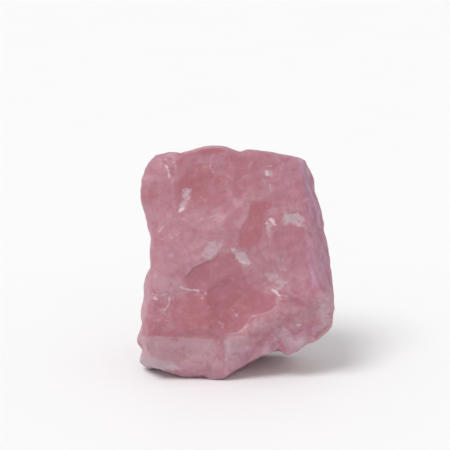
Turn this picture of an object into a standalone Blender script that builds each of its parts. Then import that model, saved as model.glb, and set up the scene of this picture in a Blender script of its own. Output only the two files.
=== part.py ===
"""A rough chunk of rose quartz: one block broken from a larger mass, standing on a flat broken base.

The stone is worked out the way it came to be. Planes of fracture are struck from a block, ledges step
down where one fracture ran into another, and shell-shaped flakes are knocked out of the faces. The
surface is then drawn out to the stone's outline, thinned to large facets, and cut flat where it stands.

Shapes are given in the face frame: (across, up, out) in millimetres from the middle of the stone, where
"up" runs up the broad face and "out" points straight out of it. The broad face leans back from upright.
"""

import math

import bmesh
import bpy
import numpy as np
from mathutils import Vector, noise

MM = 0.001

# How the stone stands: over the origin, with its broad face leaning back from upright.
FACE_LEAN = math.radians(15.0)
MIDDLE = (-0.25, -1.4, 37.7)  # the middle of the stone, as (right, back, height above the base)

# The stone's outline as seen from the viewpoint, as (across, up) where it crosses the stone's middle.
VIEWPOINT = (-3.7, 13.0, 590.0)
TOP_EDGE = (
    (-27.5, 37.0),
    (-25.0, 37.5),
    (-22.5, 38.5),
    (-19.5, 38.0),
    (-14.5, 39.5),
    (-8.0, 41.0),
    (-3.5, 40.5),
    (1.5, 38.5),
    (4.0, 39.5),
    (13.0, 38.5),
    (17.5, 37.0),
)
RIGHT_EDGE = (
    (24.5, 35.5),
    (27.5, 25.0),
    (30.5, 11.5),
    (33.0, -1.0),
    (34.5, -13.0),
    (34.5, -18.0),
    (33.5, -22.5),
)
BOTTOM_EDGE = (
    (29.0, -27.0),
    (20.5, -31.5),
    (18.5, -32.5),
    (16.5, -31.5),
    (15.0, -30.5),
    (11.5, -32.0),
    (9.5, -32.5),
    (5.0, -35.0),
    (-0.5, -39.0),
    (-4.0, -41.5),
    (-8.0, -41.0),
    (-26.5, -37.0),
    (-30.5, -37.0),
)
LEFT_EDGE = (
    (-33.0, -34.5),
    (-32.0, -31.0),
    (-33.5, -28.0),
    (-32.0, -22.0),
    (-31.0, -6.0),
    (-29.5, -2.0),
    (-29.5, 8.0),
    (-31.5, 16.0),
    (-33.5, 23.0),
    (-33.0, 28.5),
    (-31.5, 33.0),
)
OUTLINE = TOP_EDGE + RIGHT_EDGE + BOTTOM_EDGE + LEFT_EDGE
OUTLINE_PASSES = 6
BROAD_STEPS = 7  # swells of the outline wider than this move the whole stone, finer ones only its rim
RIM_DEPTH = 8.0  # how far in front of and behind the rim the finer ones reach

# Planes of fracture, as (the way the plane faces, its distance from the middle of the stone).
PLANES = {
    "broad_face": ((-0.12, 0.06, 1.0), 17.6),
    "broad_face_right": ((0.10, 0.10, 1.0), 18.6),
    "broad_face_low": ((-0.06, -0.16, 1.0), 19.6),
    "upper_left_corner": ((-0.50, 0.42, 0.76), 35.0),
    "left_edge": ((-0.72, -0.04, 0.69), 31.5),
    "top_band": ((0.04, 0.42, 0.91), 30.0),
    "top_right_corner": ((0.45, 0.55, 0.70), 41.0),
    "right_strip": ((0.82, 0.16, 0.55), 32.3),
    "low_left_band": ((-0.06, -0.46, 1.00), 25.0),
    "low_left_bevel": ((-0.25, -0.78, 0.57), 40.2),
    "low_right_face": ((0.14, -0.44, 1.00), 23.6),
    "low_right_corner": ((0.62, -0.42, 0.66), 36.0),
    "undercut_right": ((0.37, -0.93, 0.03), 37.6),
    "undercut_left": ((-0.45, -0.88, -0.10), 46.0),
    "left_side_high": ((-0.93, 0.18, -0.25), 33.0),
    "left_side_low": ((-0.97, -0.14, 0.05), 32.5),
    "left_back": ((-0.80, 0.10, -0.60), 31.5),
    "left_back_low": ((-0.62, -0.45, -0.64), 38.0),
    "top": ((-0.08, 1.0, -0.05), 39.5),
    "top_right_back": ((0.40, 0.75, -0.55), 37.0),
    "top_left_back": ((-0.42, 0.74, -0.52), 36.0),
    "right_side": ((0.98, 0.16, -0.12), 32.5),
    "right_back_high": ((0.66, 0.32, -0.68), 32.0),
    "right_back_low": ((0.84, -0.20, -0.50), 34.0),
    "back_high": ((0.14, 0.42, -0.90), 25.5),
    "back": ((-0.10, 0.16, -0.98), 23.5),
    "back_low": ((0.16, -0.14, -0.98), 25.5),
}

# Ledges, each as its floor and then its walls: (a point on the plane, the way the plane faces).
LEDGES = {
    "hollow": (
        ((-6.0, -2.0, 15.2), (0.00, 0.05, 1.00)),
        ((-11.2, -1.0, 16.5), (0.46, -0.50, 0.73)),
        ((-18.5, -12.0, 16.4), (0.60, -0.10, 0.80)),
        ((0.5, 3.0, 17.4), (-0.40, -0.60, 0.69)),
    ),
    "left_shelf": (
        ((-27.0, 10.0, 14.2), (-0.50, 0.10, 0.90)),
        ((-24.0, 4.0, 15.0), (-0.60, 0.62, 0.50)),
    ),
    "back_step": (
        ((10.0, 12.0, -21.0), (0.12, 0.24, -1.00)),
        ((-2.0, 6.0, -23.0), (0.72, 0.42, -0.55)),
    ),
    "back_shelf": (
        ((-14.0, -22.0, -20.0), (-0.24, -0.16, -1.00)),
        ((-8.0, -14.0, -22.0), (-0.40, -0.70, -0.60)),
    ),
    "right_step": (
        ((30.5, -16.0, -6.0), (0.95, -0.10, -0.28)),
        ((32.0, -6.0, -4.0), (0.50, -0.84, 0.10)),
    ),
    "left_step": (
        ((-30.5, 16.0, -10.0), (-0.92, 0.24, -0.35)),
        ((-32.0, 5.0, -8.0), (-0.50, 0.85, 0.05)),
    ),
    "top_step": (
        ((14.0, 35.0, -6.0), (0.24, 1.00, -0.16)),
        ((0.0, 38.0, -4.0), (0.80, 0.50, -0.35)),
    ),
}

# Shell-shaped flakes, as (a point near the middle of the flake, width, depth).
FLAKES = {
    "hollow": ((-2.0, -12.0, 18.0), 26.0, 2.0),
    "hollow_low": ((3.0, -22.0, 18.0), 18.0, 1.6),
    "arch_chip": ((-4.5, 34.0, 16.0), 9.0, 1.3),
    "upper_left": ((-13.0, 26.0, 18.0), 20.0, 1.1),
    "left_low": ((-21.0, -12.0, 18.0), 20.0, 1.2),
    "right_middle": ((19.0, -2.0, 18.0), 18.0, 1.0),
    "left_scar": ((-34.0, -8.0, -6.0), 26.0, 1.8),
    "right_scar": ((33.0, 12.0, -10.0), 26.0, 1.8),
    "top_scar": ((-10.0, 40.0, -10.0), 22.0, 2.0),
    "back_bowl": ((-12.0, 16.0, -24.0), 30.0, 2.2),
    "back_right_bowl": ((18.0, -8.0, -24.0), 24.0, 2.0),
    "back_top_bowl": ((12.0, 30.0, -20.0), 20.0, 1.8),
}

# Smaller flakes scattered over the stone, as (smallest, largest).
CHIPS = 60
CHIP_SEED = 7
CHIP_WIDTHS = (5.0, 17.0)
CHIP_DEPTHS = (0.03, 0.08)  # as a share of the width

# How far the fractures wander from true, and across what distance.
RAGGED_SIZE = 14.0
RAGGED_KINDS = 7
PLANE_UNEVENNESS = 0.75
LEDGE_UNEVENNESS = 0.7
FLAKE_UNEVENNESS = 0.5  # as a share of the flake's depth
GRAIN_SIZE = 6.0
GRAIN_HEIGHT = 0.22

# How finely the fractures are worked out, from front to back and round the stone, before thinning.
STEPS_DEEP = 160
STEPS_ROUND = 320
TRIANGLES = 8000
FAR = 1.0e3  # where a way never meets a surface

ROSE = (0.56, 0.27, 0.31, 1.0)
ROSE_ROUGHNESS = 0.55


def unit(vector):
    """The vector at length 1."""
    vector = np.asarray(vector, float)
    return vector / np.linalg.norm(vector)


def smoothstep(low, high, value):
    """0 below low, 1 above high, and a soft ramp between them."""
    share = np.clip((value - low) / (high - low), 0, 1)
    return share * share * (3 - 2 * share)


def directions():
    """Unit ways out from the middle of the stone: rows from front to back, steps round each row."""
    deep = (np.arange(STEPS_DEEP) + 0.5) * math.pi / STEPS_DEEP
    around = np.arange(STEPS_ROUND) * 2 * math.pi / STEPS_ROUND
    deep, around = np.meshgrid(deep, around, indexing="ij")
    across_up = np.stack((np.cos(around), np.sin(around)), axis=-1) * np.sin(deep)[..., None]
    return np.concatenate((across_up, np.cos(deep)[..., None]), axis=-1)


def waves(places, size, octaves, seed):
    """Fractal noise of about -1 to 1 at each place, with its widest waves of that size."""
    shift = Vector((17.3 * seed, -9.1 * seed, 5.7 * seed))
    flat = places.reshape(-1, 3) / size
    found = [noise.fractal(Vector(place) + shift, 1.0, 2.1, octaves) for place in flat]
    return np.array(found).reshape(places.shape[:-1])


def reach_to_plane(ways, facing, distance):
    """How far along each way the plane lies. Its distance may differ from way to way."""
    towards = ways @ unit(facing)
    return np.where(towards > 1e-3, distance / np.maximum(towards, 1e-3), FAR)


def reach_to_ball(ways, middle, radius):
    """How far along each way the near side of the ball lies."""
    towards = ways @ middle
    under_root = towards**2 - middle @ middle + radius**2
    hit = (under_root > 0) & (towards > 0)
    return np.where(hit, towards - np.sqrt(np.maximum(under_root, 0)), FAR)


def surface_normals(points):
    """The way that the surface faces at each point of the grid."""
    down = np.gradient(points, axis=0)
    along = (np.roll(points, -1, axis=1) - np.roll(points, 1, axis=1)) / 2
    normals = np.cross(down, along)
    normals /= np.maximum(np.linalg.norm(normals, axis=-1, keepdims=True), 1e-12)
    return normals * np.sign((normals * points).sum(-1, keepdims=True))


def with_planes(ways, ragged):
    """How far the surface lies along each way, once every plane of fracture is struck."""
    reach = np.full(ways.shape[:2], FAR)
    for number, (facing, distance) in enumerate(PLANES.values()):
        uneven = PLANE_UNEVENNESS * ragged[number % RAGGED_KINDS]
        reach = np.minimum(reach, reach_to_plane(ways, facing, distance + uneven))
    return reach


def with_ledge(reach, ways, sides, ragged):
    """The reach once everything outside all of the ledge's sides is broken away."""
    ledge = np.zeros(reach.shape)
    for (point, facing), wander in zip(sides, ragged):
        distance = np.dot(point, unit(facing)) + LEDGE_UNEVENNESS * wander
        ledge = np.maximum(ledge, reach_to_plane(ways, facing, distance))
    return np.minimum(reach, ledge)


def with_flake(reach, ways, flake, wander):
    """The reach once a flake, as (aim, width, depth), is knocked out where aim points."""
    aim, width, depth = flake
    hit = np.unravel_index(np.argmax(ways @ unit(aim)), reach.shape)
    points = ways * reach[..., None]
    away = np.linalg.norm(points - points[hit], axis=-1)
    near = away < width / 2
    facing = unit(surface_normals(points)[near].mean(axis=0))
    surface = np.median(points[near] @ facing)
    radius = (width / 2) ** 2 / (2 * depth)
    foot = points[hit] + facing * (surface - points[hit] @ facing)
    scar = reach_to_ball(ways, foot + facing * (radius - depth), radius)
    lifted_beyond = np.maximum(away - 0.6 * width, 0)
    return np.minimum(reach, scar + FLAKE_UNEVENNESS * depth * wander + lifted_beyond)


def all_flakes():
    """The placed flakes, then the scattered chips, each as (aim, width, depth)."""
    rng = np.random.default_rng(CHIP_SEED)
    flakes = list(FLAKES.values())
    for _ in range(CHIPS):
        width = rng.uniform(*CHIP_WIDTHS)
        flakes.append((rng.normal(size=3), width, width * rng.uniform(*CHIP_DEPTHS)))
    return flakes


def broken_block(ways):
    """Where the surface lies along each way, once planes, ledges and flakes are struck."""
    true_planes = [reach_to_plane(ways, facing, far) for facing, far in PLANES.values()]
    true_points = ways * np.min(true_planes, axis=0)[..., None]
    ragged = [waves(true_points, RAGGED_SIZE, 4, seed) for seed in range(RAGGED_KINDS)]
    reach = with_planes(ways, ragged)
    for number, sides in enumerate(LEDGES.values()):
        reach = with_ledge(reach, ways, sides, (ragged * 2)[number:])
    for number, flake in enumerate(all_flakes()):
        reach = with_flake(reach, ways, flake, ragged[number % RAGGED_KINDS])
    points = ways * reach[..., None]
    square_on = np.maximum((surface_normals(points) * ways).sum(-1), 0.4)
    grain = GRAIN_HEIGHT * waves(points, GRAIN_SIZE, 3, seed=30)
    return points + ways * (grain / square_on)[..., None]


def smoothed_round(values, spread):
    """Values round the stone, each averaged with its neighbours over about that many steps."""
    reach = 3 * spread
    weights = np.exp(-0.5 * (np.arange(-reach, reach + 1) / spread) ** 2)
    wrapped = np.concatenate((values[-reach:], values, values[:reach]))
    return np.convolve(wrapped, weights / weights.sum(), mode="valid")


def drawn_to_outline(points):
    """The points moved across and up, so that from the viewpoint the stone fills its outline."""
    across, up = np.array(OUTLINE).T
    eye = np.array(VIEWPOINT)
    seen = eye[:2] + (points[..., :2] - eye[:2]) * (eye[2] / (eye[2] - points[..., 2:]))
    from_axis = np.hypot(seen[..., 0], seen[..., 1])
    rim = from_axis.argmax(axis=0), np.arange(points.shape[1])
    rim_angle = np.arctan2(seen[..., 1], seen[..., 0])[rim]
    outline_angle = np.arctan2(up, across)
    wanted = np.interp(rim_angle, outline_angle, np.hypot(across, up), period=2 * math.pi)
    stretch = wanted / from_axis[rim]
    broad = smoothed_round(stretch, BROAD_STEPS)
    rim_out = smoothed_round(points[..., 2][rim], BROAD_STEPS)
    near_rim = np.exp(-(((points[..., 2] - rim_out) / RIM_DEPTH) ** 2))
    near_rim *= smoothstep(0.82, 0.97, from_axis / from_axis[rim])
    moved = points.copy()
    moved[..., :2] *= (broad * (1 + (stretch / broad - 1) * near_rim))[..., None]
    return moved


def to_world(points):
    """Face-frame points as upright ones in metres, with the base at height 0."""
    across, up, out = np.moveaxis(points, -1, 0)
    lean, rise = math.sin(FACE_LEAN), math.cos(FACE_LEAN)
    upright = np.stack((across, up * lean - out * rise, up * rise + out * lean), axis=-1)
    return (upright + MIDDLE) * MM


def grid_mesh(points):
    """A closed mesh over the grid of points, with one more point at each end."""
    rows, steps = points.shape[:2]
    corners = np.concatenate((points.reshape(-1, 3), (points[0].mean(axis=0), points[-1].mean(axis=0))))
    front, back = rows * steps, rows * steps + 1
    last_row = (rows - 1) * steps
    faces = []
    for step in range(steps):
        after = (step + 1) % steps
        faces.append((front, step, after))
        faces.append((back, last_row + after, last_row + step))
        for row in range(0, last_row, steps):
            faces.append((row + step, row + step + steps, row + after + steps, row + after))
    mesh = bpy.data.meshes.new("quartz_chunk")
    mesh.from_pydata(corners.tolist(), [], faces)
    return mesh


def thinned(mesh, triangles):
    """The mesh with about that many triangles, kept where the surface turns."""
    helper = bpy.data.objects.new("thinning", mesh)
    bpy.context.scene.collection.objects.link(helper)
    decimate = helper.modifiers.new("Decimate", "DECIMATE")
    decimate.ratio = triangles / sum(len(face.vertices) - 2 for face in mesh.polygons)
    graph = bpy.context.evaluated_depsgraph_get()
    thin = bpy.data.meshes.new_from_object(helper.evaluated_get(graph))
    bpy.data.objects.remove(helper)
    return thin


def cut_flat_base(mesh):
    """Cuts the stone off at height 0 and closes the cut with a flat face."""
    shape = bmesh.new()
    shape.from_mesh(mesh)
    everything = shape.verts[:] + shape.edges[:] + shape.faces[:]
    cut = bmesh.ops.bisect_plane(
        shape, geom=everything, dist=1e-6, plane_co=(0, 0, 0), plane_no=(0, 0, -1), clear_outer=True
    )
    rim = [item for item in cut["geom_cut"] if isinstance(item, bmesh.types.BMEdge)]
    bmesh.ops.edgeloop_fill(shape, edges=rim)
    bmesh.ops.triangulate(shape, faces=shape.faces[:])
    bmesh.ops.recalc_face_normals(shape, faces=shape.faces[:])
    shape.to_mesh(mesh)
    shape.free()


def rose_quartz():
    """Milky pink stone with a soft sheen."""
    material = bpy.data.materials.new("rose_quartz")
    material.use_nodes = True
    shader = material.node_tree.nodes["Principled BSDF"]
    shader.inputs["Base Color"].default_value = ROSE
    shader.inputs["Roughness"].default_value = ROSE_ROUGHNESS
    return material


def main():
    for thing in list(bpy.data.objects):
        bpy.data.objects.remove(thing)
    points = broken_block(directions())
    for _ in range(OUTLINE_PASSES):
        points = drawn_to_outline(points)
    mesh = thinned(grid_mesh(to_world(points)), TRIANGLES)
    cut_flat_base(mesh)
    mesh.name = "quartz_chunk"
    mesh.materials.append(rose_quartz())
    stone = bpy.data.objects.new("quartz_chunk", mesh)
    bpy.context.scene.collection.objects.link(stone)


main()
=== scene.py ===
"""Visual model of a rough rose quartz chunk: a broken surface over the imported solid, in milky pink quartz.

The stone is described in its face frame, in millimetres: across to the right, up along the broad front
face, and out of that face. The face leans back by FACE_LEAN. Its middle is at MIDDLE in the upright frame.
"""

import math

import bpy
import numpy as np
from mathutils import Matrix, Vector, kdtree, noise


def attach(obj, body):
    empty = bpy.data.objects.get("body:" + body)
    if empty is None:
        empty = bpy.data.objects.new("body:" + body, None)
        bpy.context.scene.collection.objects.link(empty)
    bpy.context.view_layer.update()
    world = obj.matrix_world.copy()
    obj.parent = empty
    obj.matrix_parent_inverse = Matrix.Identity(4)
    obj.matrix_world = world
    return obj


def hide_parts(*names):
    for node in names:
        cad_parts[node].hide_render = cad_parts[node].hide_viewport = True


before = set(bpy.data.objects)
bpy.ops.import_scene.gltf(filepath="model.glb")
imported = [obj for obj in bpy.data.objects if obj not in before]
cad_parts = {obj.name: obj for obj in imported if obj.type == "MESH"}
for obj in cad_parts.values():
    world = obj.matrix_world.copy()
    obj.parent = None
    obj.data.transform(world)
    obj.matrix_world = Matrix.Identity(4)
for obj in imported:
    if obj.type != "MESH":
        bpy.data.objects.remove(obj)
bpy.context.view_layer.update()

MM = 0.001
FACE_LEAN = math.radians(15.0)
MIDDLE = np.array((-0.25, -1.4, 37.7))

# Where the stone is seen from, in the face frame: across, up and out.
VIEWPOINT = np.array((-3.7, 13.0, 590.0))
LENS = 134.86
SENSOR = 36.0
CLIP_START = 0.01

# Light: the even room with its brighter foot, as bright as the floor, and how high that reaches as a sine;
# then the key as the direction that it comes from, its strength and its spread.
ROOM_LIGHT = 0.65
ROOM_FOOT_LIGHT = 0.97
ROOM_FOOT_RISE = 0.16
KEY_FROM = (-0.36, -0.40, 0.84)
KEY_LIGHT = 1.62
KEY_SOFTNESS = math.radians(28.0)

# The floor: a disc with this radius in metres, this far below the stone's foot in millimetres.
FLOOR_RADIUS = 6.0
FLOOR_SIDES = 96
FLOOR_GAP = 0.02
FLOOR_COLOURS = ((0.89, 0.89, 0.895, 1.0), (0.91, 0.91, 0.91, 1.0))
FLOOR_CLOUD_SIZE = 60.0
FLOOR_ROUGHNESS = 0.8

# Slow and fine patterns are noise with a size in millimetres, a seed, and sometimes the amount that it
# moves points by. Each seed moves the noise by NOISE_SHIFT.
NOISE_SHIFT = (17.3, -9.1, 5.7)

# The fine mesh: the width of its faces; the rounds of smoothing for the surface, for the coarse form that
# ridges stand out from, and for the directions of the relief; and the height of the foot that stays flat.
VOXEL = 0.465
BASE_SMOOTHING = 3
COARSE_SMOOTHING = 40
NORMAL_SMOOTHING = 30
BASE_MARGIN = 0.25
# The front face begins and is full where a normal points this far out of it, from -1 to 1.
FRONT_FACING = (-0.05, 0.25)

# Broken flats: the mean distance between them, their hollowness, tilt, lift and greatest depth, in
# millimetres or as slopes. They meet in ridges, or in creases where the height is turned over. The creases
# have CREASE_SHARE of their height.
BROAD_FACETS = dict(spacing=9.5, radius=80.0, tilt=0.25, lift=0.3, most=1.8, seed=3)
SMALL_FACETS = dict(spacing=4.4, radius=44.0, tilt=0.19, lift=0.12, most=0.9, seed=11)
CREASES = dict(spacing=7.0, radius=45.0, tilt=0.14, lift=0.2, most=0.9, seed=17)
FLAKES = dict(spacing=2.3, radius=14.0, tilt=0.21, lift=0.06, most=0.42, seed=29, near=9)
CREASE_SHARE = 0.8
# Their borders wander by this share of the spacing, in waves with this share of its width.
FACET_WARP = 0.10
FACET_WARP_SIZE = 0.7
# The small facets and the flakes are full where the stone is hackly, and this much elsewhere.
HACKLY_PATTERN = dict(size=17.0, seed=5)
CALM_FACETS = 0.4
CALM_FLAKES = 0.25
# How much of the broad facets, of the flakes and of the rest of that relief the smoother front face has.
FRONT_BROAD = 0.06
FRONT_FLAKES = 0.45
FRONT_RELIEF = 0.26
# Off the front the broken surface lies this much deeper, and nothing stands further out than HIGHEST.
SUNK = 0.35
HIGHEST = 1.1

# Ledges that follow the contours of a slow swell: the swell's size and height, and the height of one ledge;
# the ripple on the swell, as shares of its height and size; where in a ledge its riser starts and ends; and
# the pattern that says where the ledges are.
LEDGES = dict(size=19.0, swell=1.0, rise=0.26, seed=71)
LEDGE_RIPPLE = 0.10
LEDGE_RIPPLE_SIZE = 0.3
LEDGE_RISER = (0.72, 0.98)
LEDGED_PATTERN = dict(size=20.0, seed=6)

# Grain; wear of the ridges, which starts and is full where they stand out this far; flake scars, and the
# lips under the painted highlights.
GRAIN_HEIGHT = 0.02
GRAIN_PATTERN = dict(size=1.1, seed=9)
WORN_RIDGES = (0.10, 0.6)
EDGE_WEAR = 0.04
EDGE_NICKS = 0.08
NICK_PATTERN = dict(size=2.4, seed=12)
SCAR_DEPTH = 0.25
GLINT_RISE = 0.08

# Bulges and hollows of the outline: the middle of each, the push and how far it reaches, in millimetres.
NUDGES = {
    "left_waist": ((-32.1, -12.6), (0.9, 0.0), 5.0),
    "left_foot": ((-33.6, -26.8), (-0.8, 0.0), 3.2),
    "foot_corner": ((-32.6, -34.8), (-0.5, -0.1), 3.0),
    "top_left": ((-27.0, 36.0), (-0.35, 0.40), 8.0),
    "top_right": ((19.0, 37.2), (0.1, 0.55), 7.0),
    "right_shoulder": ((27.0, 30.0), (0.55, 0.1), 6.0),
    "right_waist": ((34.2, -8.0), (-0.45, 0.0), 4.5),
    "right_foot": ((25.5, -29.0), (-0.1, 0.35), 4.0),
    "right_corner": ((32.5, -23.0), (0.35, -0.25), 4.5),
}

# The outline is found in this many directions from its middle. Close to it, fading over RIM_BORDER, only
# RIM_RELIEF of the relief is left, with small bumps in its place. The surface there also stands out by
# RIM_GROWTH, which fades over its reach.
OUTLINE_SECTORS = 360
RIM_BORDER = (0.2, 2.0)
RIM_RELIEF = 0.4
RIM_BUMPS = 0.22
RIM_PATTERN = dict(size=2.6, seed=14)
RIM_GROWTH = 0.22
RIM_GROWTH_REACH = 6.0

# The lumpy lower right: where it lies, the spacing and height of its lumps, and the smaller lumps on them,
# as shares of both.
LUMPS_ZONE = (1.0, 2.0, (4, -20), (14, -17), (26, -19), (34, -20), (30, -32), (16, -36), (2, -34))
LUMP_SPACING = 6.5
LUMP_HEIGHT = 0.48
LUMP_SEED = 92
LUMP_WARP = dict(amount=0.8, size=2.5, seed=91)
SMALL_LUMP_SIZE = 0.4
SMALL_LUMP_SHARE = 0.15

# The striped right side: where it lies, the way across its stripes, their spacing and height, and where in
# each its crest is. They wander and have gaps, in patterns that a squeeze of the points draws out upwards.
STRIPES_ZONE = (1.0, 2.5, (21, 40), (40, 40), (40, -14), (28, -12), (25, 4), (23, 22))
STRIPES_ACROSS = (0.62, 0.06, -0.78)
STRIPE_SPACING = 1.7
STRIPE_HEIGHT = 0.24
STRIPE_CREST = 0.75
STRIPE_WANDER = 0.9
STRIPE_WANDER_PATTERN = dict(size=5.0, seed=81)
STRIPE_WANDER_SQUEEZE = (1.0, 0.18, 1.0)
STRIPE_GAPS_PATTERN = dict(size=6.0, seed=82)
STRIPE_GAPS_SQUEEZE = (1.0, 0.3, 1.0)

# Steps on the front face: the depth of the lower side, how far it takes to level out, then the points that
# the step follows. The lower side is on the right of the way that the points go.
STEPS = {
    "ridge": (0.55, 9.0, (-18.8, -7.0), (-15.2, -2.4), (-11.5, -0.4), (-8.0, 1.2), (-4.4, 4.9)),
    "shelf": (0.40, 5.0, (-20.6, -7.6), (-18.2, -9.3), (-15.0, -9.7), (-10.0, -11.0)),
    "hollow_foot": (0.40, 6.0, (-4.4, -26.3), (-12.0, -26.1), (-20.0, -26.2), (-29.0, -25.6)),
    "hollow_side": (0.42, 5.0, (15.4, -15.6), (13.6, -15.6), (12.4, -17.4), (8.0, -18.3), (4.8, -19.4),
                    (3.8, -22.2), (1.5, -24.4), (-2.2, -25.2)),
    "heart": (0.30, 6.0, (1.2, 5.0), (1.2, 8.0), (2.4, 13.0), (4.6, 16.5), (5.4, 21.0)),
    "top_left": (0.18, 6.0, (-21.6, 15.0), (-21.2, 24.0), (-21.0, 31.0), (-20.9, 37.0)),
    "face_scar": (0.35, 4.0, (18.4, -11.8), (15.2, -11.7), (13.0, -9.8), (10.4, -7.2), (10.0, -3.6)),
}
# A step falls over STEP_LIP, from its upper to its lower side, starts to level out at STEP_FLOOR of its
# reach, and fades out over STEP_END before each of its ends.
STEP_LIP = (-0.25, 0.45)
STEP_FLOOR = 0.1
STEP_END = 3.0

# Where the front's edges are worn away.
WORN_ZONES = {
    "crown_foot": (1.0, 2.5, (-22, 21), (-14, 21.5), (-4, 22), (-4, 14), (-12, 10.5), (-22, 12)),
}

# Colours of the quartz, linear. GLINT is the colour of painted highlights, and VEIL is also that of the
# painted light on the lumps' tops.
ROSE = (0.423, 0.186, 0.232, 1.0)
WARM_ROSE = (0.438, 0.203, 0.247, 1.0)
DEEP_ROSE = (0.401, 0.127, 0.161, 1.0)
PALE_ROSE = (0.487, 0.267, 0.311, 1.0)
LILAC = (0.418, 0.210, 0.311, 1.0)
LIGHT_STREAK = (0.490, 0.277, 0.396, 1.0)
DARK_STREAK = (0.390, 0.148, 0.212, 1.0)
FROST = (0.502, 0.358, 0.407, 1.0)
GLINT = (0.66, 0.510, 0.540, 1.0)
VEIL = (0.56, 0.420, 0.460, 1.0)

# The sizes of the colour's patterns, in millimetres.
CLOUD_SIZE = 9.0
MOTTLE_SIZE = 3.2
COLOUR_GRAIN_SIZE = 2.0
FINE_GRAIN_SIZE = 0.7
VEIL_SPACING = 22.0
VEIL_GAPS = 12.0

# Lilac streaks: directions across, along and out of them in the face frame, how far they are drawn out,
# their size and strength, and where in the noise each colour of streak starts and is full.
STREAK_ACROSS = (0.940, 0.330, 0.0)
STREAK_ALONG = (0.330, -0.940, 0.0)
STREAK_OUT = (0.0, 0.0, 1.0)
STREAK_ALONG_SQUEEZE = 0.08
STREAK_OUT_SQUEEZE = 0.3
STREAK_SIZE = 1.3
STREAK_STRENGTH = 0.85
STREAKS = ((0.50, 0.60, LIGHT_STREAK), (0.48, 0.38, DARK_STREAK))

# Fields of the surface that tint the colour: where each tint starts and is full, its strength and its
# colour. The lumps' tops get painted light and their low parts painted shade; each facet's tone differs at
# random.
TINTS = (
    ("lump", 0.3, 1.5, 0.7, VEIL),
    ("lump", 0.0, -0.5, 0.5, DEEP_ROSE),
    ("tone", 0.0, 0.9, 0.75, PALE_ROSE),
    ("tone", 0.0, -0.9, 0.75, DEEP_ROSE),
)

# The front's facets have this share of the tone. A bend of SHARP_EDGE mm, against the surface smoothed by
# CREASE_SMOOTHING rounds, is a full edge or crease.
FRONT_TONE = 0.5
CREASE_SMOOTHING = 6
SHARP_EDGE = 0.12

# Off the front the zones' colours are clouds: the strength of each, where its clouds start and are full,
# its seed.
CLOUDS = {"deep": (0.22, 0.0, 0.7, 41), "pale": (0.55, -0.1, 0.6, 43), "lilac": (0.45, 0.1, 0.8, 45)}
CLOUD_SPACING = 18.0
SMALL_CLOUD_SPACING = 6.0
SMALL_CLOUD_SHARE = 0.3

# Frosted flakes: the range of a flake's chance number in which it becomes frosted, how strongly, and where.
FROSTED_CHANCE = (0.90, 0.96)
FLECK_FROST = 0.8
FLECK_PATTERN = dict(size=14.0, seed=61)

# Gloss and depth: the range of roughness from grain to grain, and what frost adds to it; the share of light
# that passes under the surface, its reach by colour and in millimetres, and what frost adds to that share.
QUARTZ_IOR = 1.54
ROUGHNESS = (0.36, 0.52)
FROST_ROUGHNESS = 0.12
SUBSURFACE = 0.5
SUBSURFACE_RADIUS = (1.0, 0.5, 0.5)
SUBSURFACE_REACH = 0.9
FROST_SUBSURFACE = -0.3

# Micro-facets: the sizes of their cells and the slopes of each, off the front and on it, the warp of their
# borders, and the depth of the grain on them.
CELL_SIZE = 3.4
CELL_SLOPES = (0.32, 0.12)
SMALL_CELL_SIZE = 1.3
SMALL_CELL_SLOPE = 0.08
CELL_WARP = 0.9
CELL_WARP_SIZE = 1.6
FINE_GRAIN_DEPTH = 0.03
COLOUR_GRAIN_DEPTH = 0.05

# How far the borders of zones, steps and glints wander, as shares of BORDER_WARPS, and how far the inner
# half of the frosted patches' borders is stretched.
BORDER_WARPS = (dict(amount=1.0, size=3.5, seed=31), dict(amount=0.5, size=1.2, seed=35))
WOBBLE = dict(frost=0.8, glint=0.3, steps=0.25, deep=0.4, pale=0.5, lilac=0.8)
FROST_FADE = 1.7

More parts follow.
